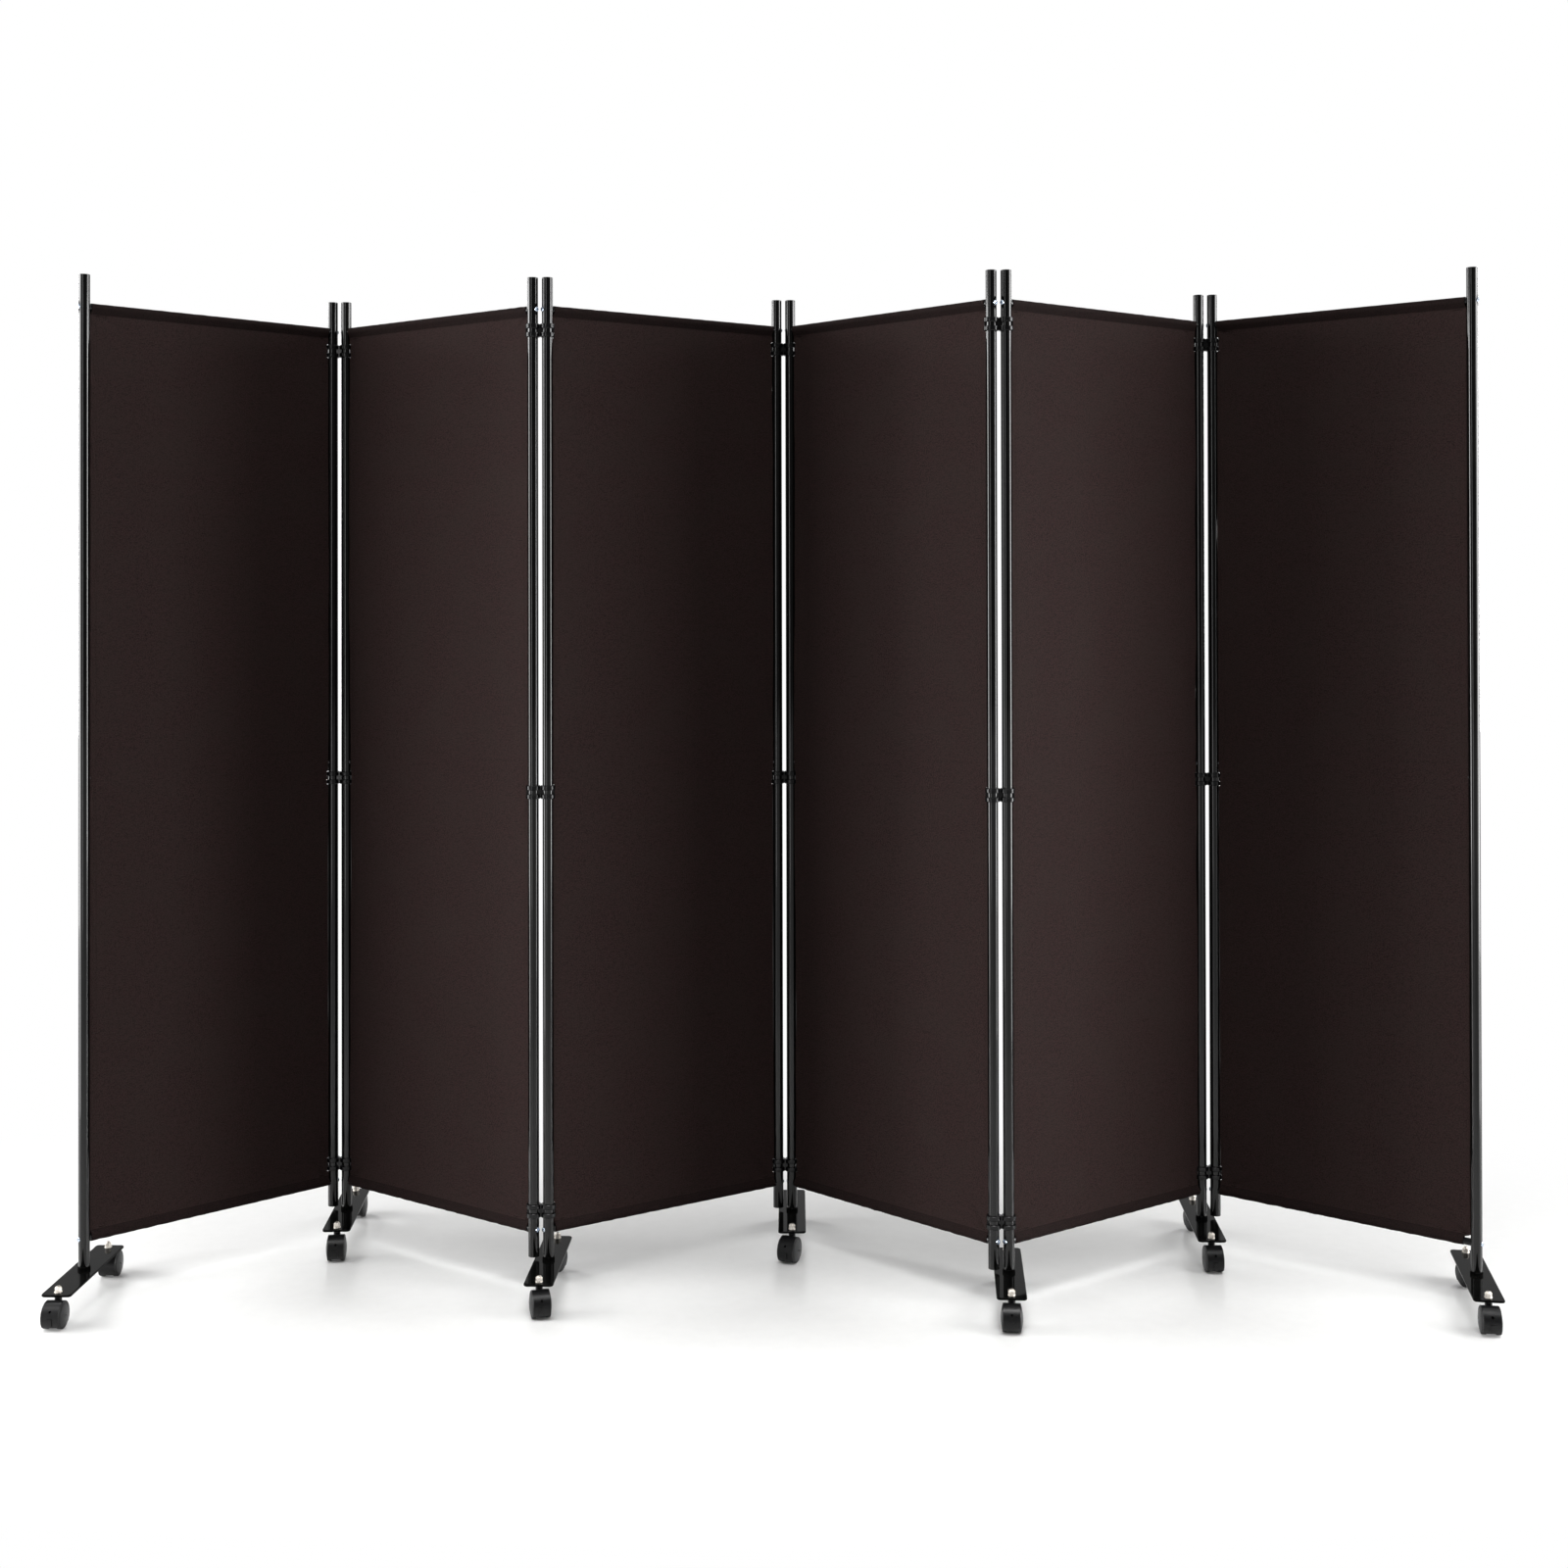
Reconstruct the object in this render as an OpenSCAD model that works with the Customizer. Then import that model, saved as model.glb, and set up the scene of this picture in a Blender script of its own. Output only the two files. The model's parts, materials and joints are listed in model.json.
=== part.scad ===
// Folding room divider: fabric panels stretched between steel poles, joined by
// snap-on hinge clips and standing on feet with twin-wheel casters. Millimetres.
// X runs along the screen, Y away from the viewer, Z up. The origin is on the
// floor below the middle of the screen.

/* [Folding] */
// Heading of panel 1 from the line of the screen
panel_1_angle = 43.5; // [-80:0.5:80]
// Heading of panel 2
panel_2_angle = -36; // [-80:0.5:80]
// Heading of panel 3
panel_3_angle = 34.5; // [-80:0.5:80]
// Heading of panel 4
panel_4_angle = -44.5; // [-80:0.5:80]
// Heading of panel 5
panel_5_angle = 36.5; // [-80:0.5:80]
// Heading of panel 6
panel_6_angle = -38.5; // [-80:0.5:80]

/* [Poles] */
// Distance between the two pole axes of one panel
panel_w = 480; // [300:5:700]
// Height of the pole tops above a foot plate
pole_h = 1700; // [1200:10:2200]
// Outer diameter of a pole tube
pole_d = 19; // [16:0.5:24]
// Wall of a pole tube
pole_wall = 1.2; // [1:0.1:2]
// Height above the foot plate at which a pole comes apart
tube_joint_h = 825; // [600:5:1000]
// Length of the sleeve inside that joint
sleeve_l = 120; // [60:5:200]
// Wall of that sleeve
sleeve_wall = 1.2; // [0.8:0.1:2]
// Thickness of the cap on a pole
cap_t = 1.5; // [1:0.1:3]
// Bevel on the cap's rim
cap_bevel = 0.5; // [0.2:0.1:0.9]
// Length of the plugs in the ends of a pole
plug_l = 12; // [6:1:30]
// Diameter of the snap button
button_d = 5; // [3:0.5:7]
// Height of the snap button above the tube joint
button_rise = 12; // [8:1:30]
// How far the snap button stands out of the pole
button_out = 0.8; // [0.4:0.1:2]

/* [Rails and screws] */
// Outer diameter of a rail
rail_d = 12; // [10:0.5:16]
// Wall of a rail
rail_wall = 1; // [0.8:0.1:2]
// Distance of the upper rail below the pole tops
rail_drop = 55.5; // [40:0.5:80]
// Height of the lower rail above a foot plate
rail_rise = 52.5; // [48:0.5:70]
// Length of the saddle between a pole and a rail
saddle_l = 9; // [6:0.5:14]
// Length of the saddle's spigot inside the rail
spigot_l = 15; // [8:1:30]
// Diameter of a rail screw
screw_d = 4; // [3:0.1:5]
// Diameter of its head
screw_head_d = 8.5; // [6:0.1:10]
// Height of its head
screw_head_h = 2.2; // [1:0.1:4]
// How far a screw reaches into the rail's spigot
screw_reach = 12; // [6:1:25]
// Width and depth of the screw's slot
slot_w = 1; // [0.6:0.1:1.5]
// Depth of the flat that is pressed into the pole under a screw
dent_depth = 0.6; // [0.2:0.1:0.8]
// Radius of the tool that pressed it
dent_r = 120; // [80:5:200]

/* [Fabric] */
// Thickness of the hemmed fabric
fabric_t = 1.2; // [0.8:0.1:2]
// Distance of the fabric's side edge from the pole axis
fabric_edge = 11; // [10.5:0.1:14]
// Distance of the ends of its rail pockets from the pole axis
pocket_edge = 15; // [12:0.5:25]
// Depth of the sewn hem round a rail
hem_h = 19; // [15:0.5:30]
// Wall of the hem round a rail
pocket_wall = 0.9; // [0.6:0.1:1.5]
// Clearance between the fabric and a rail
pocket_gap = 0.3; // [0.1:0.1:1]
// Clearance between the fabric and a hinge clip
notch_gap = 1.2; // [0.6:0.1:3]

/* [Hinge clips] */
// Distance between the two pole axes of one hinge
pole_pitch = 25.5; // [24.5:0.5:40]
// Height of a clip
clip_h = 23; // [18:0.5:40]
// Height of each of its two rings
ring_h = 8; // [5:0.5:9]
// Wall of a ring
ring_wall = 3.1; // [1.5:0.1:4]
// Bevel on the edges of a ring
ring_bevel = 0.8; // [0.2:0.1:1.2]
// Half width of the web between the poles
web_half = 5; // [3:0.5:7]
// How far the web stays below the rims of the rings
web_drop = 1; // [0.5:0.5:4]
// Half width of the waist between the rings
waist_half = 4; // [2:0.5:6]
// Distance of the upper clip below the pole tops
clip_top_drop = 92; // [85:1:150]
// Height of the middle clip above a foot plate
clip_mid_rise = 808; // [700:1:811]
// Height of the lower clip above a foot plate
clip_low_rise = 85; // [84:1:150]

/* [Feet] */
// Length of a foot plate
foot_l = 250; // [200:5:320]
// Width of a foot plate
foot_w = 50; // [40:1:70]
// Thickness of a foot plate
foot_t = 4; // [3:0.5:6]
// Radius of its corners
foot_corner = 7; // [3:0.5:12]
// Bevel on its edges
foot_bevel = 0.8; // [0.3:0.1:1.2]
// Height of the underside of a foot plate above the floor
foot_z = 50; // [49:0.5:60]
// Distance of a caster stem from the pole
stem_offset = 112; // [90:1:112]
// Diameter of the collar under a standing pole
collar_d = 21.5; // [20:0.5:30]
// Height of that collar
collar_h = 5.7; // [3:0.1:12]
// Bevel on its rim
collar_bevel = 0.7; // [0.2:0.1:1.2]
// Height of the stub inside a standing pole
stub_h = 35; // [15:1:40]
// Diameter of the stub's rivet through the foot plate
rivet_d = 10; // [6:0.5:14]
// Diameter of the threaded stud of a caster
stud_d = 6; // [5:0.5:8]
// Diameter of the flange under a caster nut
flange_d = 12.4; // [11:0.1:16]
// Thickness of that flange
flange_t = 1.5; // [1:0.1:3]
// Width across the flats of a caster nut
nut_w = 10; // [8:0.5:12]
// Height of its hexagon
nut_h = 6.5; // [4:0.5:10]
// Diameter of the round crown of the nut
crown_d = 8.8; // [7.6:0.1:10]
// Height of that crown
crown_h = 2; // [0.5:0.5:3]

/* [Casters] */
// Diameter of a wheel
wheel_d = 43; // [38:0.5:44]
// Distance of the axle behind the stem
trail = 13; // [11:0.5:16]
// Diameter of the axle
axle_d = 5; // [4:0.5:6]
// Diameter of the stem's pin
pin_d = 8; // [6:0.5:9]
// Depth of the stem's pin in the housing
pin_depth = 19.5; // [12:0.5:20]
// Diameter of the stem's neck under the foot plate
neck_d = 11; // [9:0.5:14]
// Height of that neck
neck_h = 2.2; // [1:0.1:4]
// Diameter of the housing's boss round the stem
boss_d = 12; // [11:0.5:15]
// Width of the housing over its two hoods
hood_w = 29.8; // [26:0.2:36]
// Wall of a hood
hood_wall = 1.5; // [1:0.1:2.5]
// Clearance between a wheel and its hood
hood_gap = 0.4; // [0.3:0.1:1]
// Bevel on the rim of a hood
hood_bevel = 0.7; // [0.2:0.1:0.9]
// Thickness of the housing's middle between the wheels
core_w = 16.8; // [14:0.2:20]
// Height of the housing's lower edge above the floor
skirt_z = 6.5; // [4:0.5:10]
// Width of a wheel's tread
tread_w = 6.2; // [5:0.1:10]
// How far each end of the axle lies inside the tread
axle_inset = 0.5; // [0:0.1:2]
// How far a wheel's outer face bulges
dome_h = 3.4; // [1:0.1:5]
// Radius of the ring groove on that face
groove_r = 18; // [12:0.5:19]
// Width and depth of that groove
groove_w = 0.6; // [0.3:0.1:1.5]
// Diameter of the hole in the back of the housing
mark_d = 4; // [2:0.5:6]
// Width of the moulded tab below that hole
tab_w = 8; // [4:0.5:12]
// Height of that tab
tab_h = 12.5; // [6:0.5:14]
// Height of the tab's upper edge above the axle
tab_rise = 1; // [0:0.5:3]
// How far the tab stands out
tab_out = 1.6; // [0.5:0.1:3]

/* [Fits] */
// Radial clearance where two pieces turn on each other
turn_fit = 0.05; // [0.02:0.01:0.1]
// Radial clearance where one piece is pushed into another
push_fit = 0.05; // [0.02:0.01:0.1]
// Radial clearance round a screw or a stud
hole_fit = 0.1; // [0.05:0.05:0.3]
// Gap between faces that are held together
face_fit = 0.05; // [0.02:0.01:0.1]
// Gap between stacked pieces that move past each other
running_gap = 0.3; // [0.2:0.1:1]

/* [Hidden] */
$fn = 64;
cut = 1;

PANELS = 6;
HINGES = PANELS - 1;
FEET = PANELS + 1;
CASTER_ENDS = ["front", "rear"];

panel_angles = [
    panel_1_angle, panel_2_angle, panel_3_angle,
    panel_4_angle, panel_5_angle, panel_6_angle
];

// Turn of each foot plate about its pole, and of its front and rear casters
// about their stems, where 0 trails towards the viewer
foot_turns = [-1, 4, -1, 0, -4, -3, -10];
caster_turns = [
    [-3, 180], [8, 180], [16, -25], [-22, 0], [-6, 0], [1, 20], [-8, 18]
];

// Panel and side of the pole that each foot carries, side 0 on the left. The
// last two feet stand under right poles, so that both end poles have one.
foot_seats = [for (i = [1 : FEET]) i <= HINGES ? [i, 0] : [i - 1, 1]];

plate_top = foot_z + foot_t;
pole_top = plate_top + pole_h;
pole_r = pole_d / 2;
pole_bore_r = pole_r - pole_wall;
pole_bottom = plate_top + collar_h + running_gap;
tube_joint_z = plate_top + tube_joint_h;
rail_top_z = pole_top - rail_drop;
rail_low_z = plate_top + rail_rise;
rail_r = rail_d / 2;
rail_bore_r = rail_r - rail_wall;
rail_start = pole_r + saddle_l;
pocket_in_r = rail_r + pocket_gap;
pocket_out_r = pocket_in_r + pocket_wall;
seam_rise = hem_h - pocket_out_r;
clip_levels = [pole_top - clip_top_drop, plate_top + clip_mid_rise, plate_top + clip_low_rise];
ring_r = pole_r + turn_fit + ring_wall;
wheel_r = wheel_d / 2;
hood_in_r = wheel_r + hood_gap;
hood_out_r = hood_in_r + hood_wall;
boss_top = foot_z - neck_h - running_gap;
pin_bottom = boss_top - pin_depth;

// The screw's head bears on the rim of the pressed flat
screw_seat = pole_r - dent_depth + screw_head_d * screw_head_d / (8 * dent_r) + push_fit;

function heading(a) = [cos(a), sin(a)];
function left_pole(k) =
    k == 1 ? [0, 0] : right_pole(k - 1) + [pole_pitch, 0];
function right_pole(k) = left_pole(k) + panel_w * heading(panel_angles[k - 1]);
function foot_seat(i) =
    foot_seats[i - 1][1] == 0 ? left_pole(foot_seats[i - 1][0]) : right_pole(foot_seats[i - 1][0]);
function has_foot(k, side) = len([for (seat = foot_seats) if (seat == [k, side]) seat]) > 0;
function has_clip(k, side) = side == 0 ? k > 1 : k < PANELS;

// Reach of a turned foot plate, and of a turned caster past its stem
function plate_reach(a) =
    (foot_w / 2 - foot_corner) * abs(cos(a)) + (foot_l / 2 - foot_corner) * abs(sin(a)) + foot_corner;
function caster_reach(a) = hood_out_r * abs(cos(a)) + hood_w / 2 * abs(sin(a));
function stem_y(i, s) = foot_seat(i)[1] + s * stem_offset * cos(foot_turns[i - 1]);
function wheel_y(i, s) = stem_y(i, s) - trail * cos(caster_turns[i - 1][s < 0 ? 0 : 1]);

x_min = foot_seat(1)[0] - plate_reach(foot_turns[0]);
x_max = foot_seat(FEET)[0] + plate_reach(foot_turns[FEET - 1]);
y_min = min([for (i = [1 : FEET]) wheel_y(i, -1) - caster_reach(caster_turns[i - 1][0])]);
y_max = max([for (i = [1 : FEET]) wheel_y(i, 1) + caster_reach(caster_turns[i - 1][1])]);
middle = [(x_min + x_max) / 2, (y_min + y_max) / 2];

// A panel is drawn along X from its left pole, which stands on the Z axis
module place_panel(k) {
    at = left_pole(k) - middle;
    translate([at[0], at[1], 0]) rotate([0, 0, panel_angles[k - 1]]) children();
}

// Both sides of a panel are drawn as the left one, with its outside towards -X
module at_side(side) {
    translate([side * panel_w, 0, 0]) rotate([0, 0, side * 180]) children();
}

module place_hinge(j) {
    at = right_pole(j) - middle;
    translate([at[0], at[1], 0]) children();
}

module place_foot(i) {
    at = foot_seat(i) - middle;
    translate([at[0], at[1], 0]) rotate([0, 0, foot_turns[i - 1]]) children();
}

// End 0 is the front of a foot and end 1 the rear
module place_caster(i, end) {
    place_foot(i)
        translate([0, (2 * end - 1) * stem_offset, 0])
            rotate([0, 0, caster_turns[i - 1][end] - foot_turns[i - 1]])
                children();
}

module along_x() {
    rotate([0, 90, 0]) children();
}

module tube(r, wall, h) {
    difference() {
        cylinder(r = r, h = h);
        translate([0, 0, -cut]) cylinder(r = r - wall, h = h + 2 * cut);
    }
}

// Disc of radius r and height h whose upper edge is bevelled
module bevelled_disc(r, h, bevel) {
    rotate_extrude() polygon([[0, 0], [r, 0], [r, h - bevel], [r - bevel, h], [0, h]]);
}

// Hole for a rail screw through the pole, and the flat pressed round it
module screw_cuts() {
    along_x() cylinder(r = screw_d / 2 + hole_fit, h = 2 * pole_d, center = true);
    translate([dent_depth - pole_r - dent_r, 0, 0]) sphere(r = dent_r);
}

module lower_tube() {
    difference() {
        translate([0, 0, pole_bottom]) tube(pole_r, pole_wall, tube_joint_z - pole_bottom);
        translate([0, 0, rail_low_z]) screw_cuts();
    }
}

module upper_tube() {
    bottom = tube_joint_z + running_gap;
    difference() {
        translate([0, 0, bottom]) tube(pole_r, pole_wall, pole_top - cap_t - face_fit - bottom);
        translate([0, 0, rail_top_z]) screw_cuts();
        button_cut();
    }
}

module sleeve() {
    difference() {
        translate([0, 0, tube_joint_z - sleeve_l / 2]) tube(pole_bore_r - push_fit, sleeve_wall, sleeve_l);
        button_cut();
    }
}

module button_cut() {
    translate([0, 0, tube_joint_z + button_rise])
        along_x() cylinder(r = button_d / 2 + push_fit, h = pole_d);
}

module snap_button() {
    start = pole_bore_r - push_fit - sleeve_wall;
    translate([start, 0, tube_joint_z + button_rise])
        along_x() bevelled_disc(button_d / 2, pole_r + button_out - start, button_out / 2);
}

module pole_cap() {
    translate([0, 0, pole_top - cap_t]) bevelled_disc(pole_r, cap_t, cap_bevel);
    translate([0, 0, pole_top - cap_t - plug_l]) cylinder(r = pole_bore_r - push_fit, h = plug_l + cap_t / 2);
}

module end_plug() {
    translate([0, 0, pole_bottom]) cylinder(r = pole_bore_r - push_fit, h = plug_l);
}

module panel_poles(k) {
    color([0.07, 0.07, 0.08])
        place_panel(k)
            for (side = [0, 1]) at_side(side) {
                lower_tube();
                upper_tube();
                sleeve();
                pole_cap();
                if (!has_foot(k, side)) end_plug();
            }
    color("silver")
        place_panel(k)
            for (side = [0, 1]) at_side(side) snap_button();
}

module rail() {
    start = rail_start + face_fit;
    translate([start, 0, 0]) along_x() tube(rail_r, rail_wall, panel_w - 2 * start);
}

// Saddle that lies against the pole and carries the end of a rail
module saddle() {
    difference() {
        union() {
            along_x() cylinder(r = rail_r, h = rail_start);
            along_x() cylinder(r = rail_bore_r - push_fit, h = rail_start + spigot_l);
        }
        cylinder(r = pole_r + push_fit, h = 2 * rail_d, center = true);
        along_x() cylinder(r = screw_d / 2 + push_fit, h = rail_start + spigot_l + cut);
    }
}

module rail_screw() {
    translate([-screw_seat, 0, 0])
        along_x() cylinder(r = screw_d / 2, h = screw_seat + rail_start + screw_reach);
    difference() {
        translate([-screw_seat, 0, 0])
            rotate([0, -90, 0]) bevelled_disc(screw_head_d / 2, screw_head_h, screw_head_h / 2);
        translate([-screw_seat - screw_head_h, 0, 0])
            rotate([45, 0, 0]) cube([2 * slot_w, slot_w, 2 * screw_head_d], center = true);
    }
}

module panel_rails(k) {
    for (z = [rail_low_z, rail_top_z]) {
        color([0.07, 0.07, 0.08]) place_panel(k) translate([0, 0, z]) {
            rail();
            for (side = [0, 1]) at_side(side) saddle();
        }
        color("silver") place_panel(k) translate([0, 0, z])
            for (side = [0, 1]) at_side(side) rail_screw();
    }
}

// Cross-section of the hem round a rail, which narrows to the seam
module hem_section() {
    neck_half = pocket_out_r - pocket_wall / 2;
    difference() {
        union() {
            circle(r = pocket_out_r);
            polygon([[-neck_half, 0], [neck_half, 0], [0, -seam_rise]]);
        }
        circle(r = pocket_in_r);
    }
}

// Cross-section of the fabric between its two hems
module fabric_section() {
    start = rail_low_z + (pocket_in_r + seam_rise) / 2;
    translate([0, rail_top_z]) hem_section();
    translate([0, rail_low_z]) mirror([0, 1]) hem_section();
    translate([-fabric_t / 2, start]) square([fabric_t, rail_low_z + rail_top_z - 2 * start]);
}

// Part of the sheet that gives way to the clips on one pole
module clip_notches() {
    reach = ring_r + notch_gap;
    for (z = clip_levels)
        translate([0, 0, z]) cube([2 * reach, 2 * ring_r, clip_h + 2 * notch_gap], center = true);
}

module panel_fabric(k) {
    bottom = rail_low_z + seam_rise;
    color([0.2, 0.155, 0.15]) place_panel(k) difference() {
        union() {
            translate([pocket_edge, 0, 0]) rotate([90, 0, 90])
                linear_extrude(panel_w - 2 * pocket_edge) fabric_section();
            translate([fabric_edge, -fabric_t / 2, bottom])
                cube([panel_w - 2 * fabric_edge, fabric_t, rail_top_z - seam_rise - bottom]);
        }
        for (side = [0, 1]) if (has_clip(k, side)) at_side(side) clip_notches();
    }
}

module ring_blank() {
    half = ring_h / 2;
    rotate_extrude() polygon([
        [0, -half], [ring_r - ring_bevel, -half], [ring_r, ring_bevel - half],
        [ring_r, half - ring_bevel], [ring_r - ring_bevel, half], [0, half]
    ]);
}

// Narrow middle of a clip, which leaves a window to the poles above the web
module clip_waist() {
    waist_h = clip_h - ring_h;
    intersection() {
        union() {
            for (x = [0, pole_pitch]) translate([x, 0, 0])
                cylinder(r = ring_r - ring_bevel, h = waist_h, center = true);
            translate([0, -waist_half, -waist_h / 2]) cube([pole_pitch, 2 * waist_half, waist_h]);
        }
        cube([4 * (pole_pitch + ring_r), 2 * waist_half, clip_h], center = true);
    }
}

// One clip round two poles, the second at pole_pitch along X
module clip() {
    difference() {
        union() {
            for (x = [0, pole_pitch], s = [-1, 1])
                translate([x, 0, s * (clip_h - ring_h) / 2]) ring_blank();
            clip_waist();
            translate([0, -web_half, web_drop - clip_h / 2])
                cube([pole_pitch, 2 * web_half, clip_h - 2 * web_drop]);
        }
        for (x = [0, pole_pitch])
            translate([x, 0, 0]) cylinder(r = pole_r + turn_fit, h = clip_h + 2 * cut, center = true);
    }
}

module hinge_clips(j) {
    color([0.1, 0.1, 0.11])
        place_hinge(j)
            for (z = clip_levels) translate([0, 0, z]) clip();
}

module plate_blank() {
    hull()
        for (x = [-1, 1], y = [-1, 1])
            translate([x * (foot_w / 2 - foot_corner), y * (foot_l / 2 - foot_corner), foot_z])
                rotate_extrude($fn = 32) polygon([
                    [0, 0], [foot_corner - foot_bevel, 0], [foot_corner, foot_bevel],
                    [foot_corner, foot_t - foot_bevel], [foot_corner - foot_bevel, foot_t], [0, foot_t]
                ]);
}

module foot_plate() {
    difference() {
        plate_blank();
        translate([0, 0, foot_z - cut]) cylinder(r = rivet_d / 2 + push_fit, h = foot_t + 2 * cut);
        for (s = [-1, 1]) translate([0, s * stem_offset, foot_z - cut])
            cylinder(r = stud_d / 2 + hole_fit, h = foot_t + 2 * cut);
    }
}

// Collar with the stub that the pole turns on and the rivet that holds it
module pole_seat() {
    translate([0, 0, plate_top + face_fit])
        bevelled_disc(collar_d / 2, collar_h - face_fit, collar_bevel);
    translate([0, 0, plate_top + collar_h / 2])
        cylinder(r = pole_bore_r - turn_fit, h = collar_h / 2 + stub_h);
    translate([0, 0, foot_z]) cylinder(r = rivet_d / 2, h = foot_t + collar_h / 2);
}

// Caster stem: pin in the housing, neck under the plate, stud through it
module stem() {
    stud_top = plate_top + flange_t + nut_h + crown_h / 2;
    translate([0, 0, pin_bottom]) cylinder(r = pin_d / 2, h = foot_z - neck_h / 2 - pin_bottom);
    translate([0, 0, foot_z - neck_h]) cylinder(r = neck_d / 2, h = neck_h - face_fit);
    translate([0, 0, foot_z - neck_h / 2]) cylinder(r = stud_d / 2, h = stud_top - foot_z + neck_h / 2);
}

module caster_nut() {
    difference() {
        union() {
            cylinder(r = flange_d / 2, h = flange_t);
            translate([0, 0, flange_t / 2]) cylinder(r = nut_w / sqrt(3), h = nut_h + flange_t / 2, $fn = 6);
            translate([0, 0, flange_t + nut_h - crown_h])
                bevelled_disc(crown_d / 2, 2 * crown_h, crown_h / 2);
        }
        translate([0, 0, -cut]) cylinder(r = stud_d / 2 + push_fit, h = flange_t + nut_h + crown_h + 2 * cut);
    }
}

module foot(i) {
    color([0.07, 0.07, 0.08]) place_foot(i) {
        foot_plate();
        pole_seat();
        for (s = [-1, 1]) translate([0, s * stem_offset, 0]) stem();
    }
    color("silver") place_foot(i)
        for (s = [-1, 1]) translate([0, s * stem_offset, plate_top + face_fit]) caster_nut();
}

// Housing turned about the axle: a solid middle with a hood over each wheel
module housing_blank() {
    half = hood_w / 2;
    core = core_w / 2;
    along_x() rotate_extrude() polygon([
        [0, -core], [hood_in_r, -core], [hood_in_r, -half], [hood_out_r - hood_bevel, -half],
        [hood_out_r, hood_bevel - half], [hood_out_r, half - hood_bevel],
        [hood_out_r - hood_bevel, half], [hood_in_r, half], [hood_in_r, core], [0, core]
    ]);
}

// Moulded tab that follows the back of the housing
module housing_tab() {
    intersection() {
        translate([0, -trail, wheel_r])
            along_x() cylinder(r = hood_out_r + tab_out, h = tab_w, center = true);
        translate([-tab_w, -trail - 2 * hood_out_r, wheel_r + tab_rise - tab_h])
            cube([2 * tab_w, hood_out_r + hood_in_r / 2, tab_h]);
    }
}

module caster_housing() {
    mark_z = wheel_r + hood_out_r / 2;
    difference() {
        union() {
            translate([0, -trail, wheel_r]) housing_blank();
            translate([0, 0, pin_bottom]) cylinder(r = boss_d / 2, h = boss_top - pin_bottom);
            housing_tab();
        }
        translate([-hood_w, -trail - 2 * hood_out_r, skirt_z - hood_out_r])
            cube([2 * hood_w, 4 * hood_out_r, hood_out_r]);
        translate([0, 0, pin_bottom - running_gap])
            cylinder(r = pin_d / 2 + turn_fit, h = pin_depth + running_gap + cut);
        translate([0, -trail, wheel_r])
            along_x() cylinder(r = axle_d / 2 + turn_fit, h = 2 * core_w, center = true);
        translate([0, -trail - hood_out_r / 2, mark_z])
            rotate([90, 0, 0]) cylinder(r = mark_d / 2, h = hood_out_r);
    }
}

module caster(i, end) {
    color([0.12, 0.12, 0.13]) place_caster(i, end) caster_housing();
}

// Wheel with its outer face towards +X, which bulges and carries a ring groove
module wheel() {
    inner = core_w / 2 + running_gap;
    bore_r = axle_d / 2 + push_fit;
    dome_r = (wheel_r * wheel_r + dome_h * dome_h) / (2 * dome_h);
    dome_x = inner + tread_w + dome_h - dome_r;
    groove_x = dome_x + sqrt(dome_r * dome_r - groove_r * groove_r) - groove_w;
    along_x() rotate_extrude() difference() {
        intersection() {
            translate([bore_r, inner]) square([wheel_r - bore_r, tread_w + dome_h]);
            translate([0, dome_x]) circle(r = dome_r, $fn = 360);
        }
        translate([groove_r - groove_w / 2, groove_x]) square([groove_w, dome_h]);
    }
}

module wheel_pair(i, end) {
    axle_l = core_w + 2 * (tread_w - axle_inset);
    color([0.15, 0.15, 0.16]) place_caster(i, end) translate([0, -trail, wheel_r])
        for (s = [0, 1]) rotate([0, 0, 180 * s]) wheel();
    color("silver") place_caster(i, end) translate([0, -trail, wheel_r])
        along_x() cylinder(r = axle_d / 2, h = axle_l, center = true);
}

for (k = [1 : PANELS]) {
    panel_poles(k);
    panel_rails(k);
    panel_fabric(k);
}
for (j = [1 : HINGES])
    hinge_clips(j);
for (i = [1 : FEET])
    foot(i);
for (i = [1 : FEET], end = [0, 1]) {
    caster(i, end);
    wheel_pair(i, end);
}
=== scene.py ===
import json
import math

import bpy
import numpy as np
from mathutils import Matrix, Vector

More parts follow.
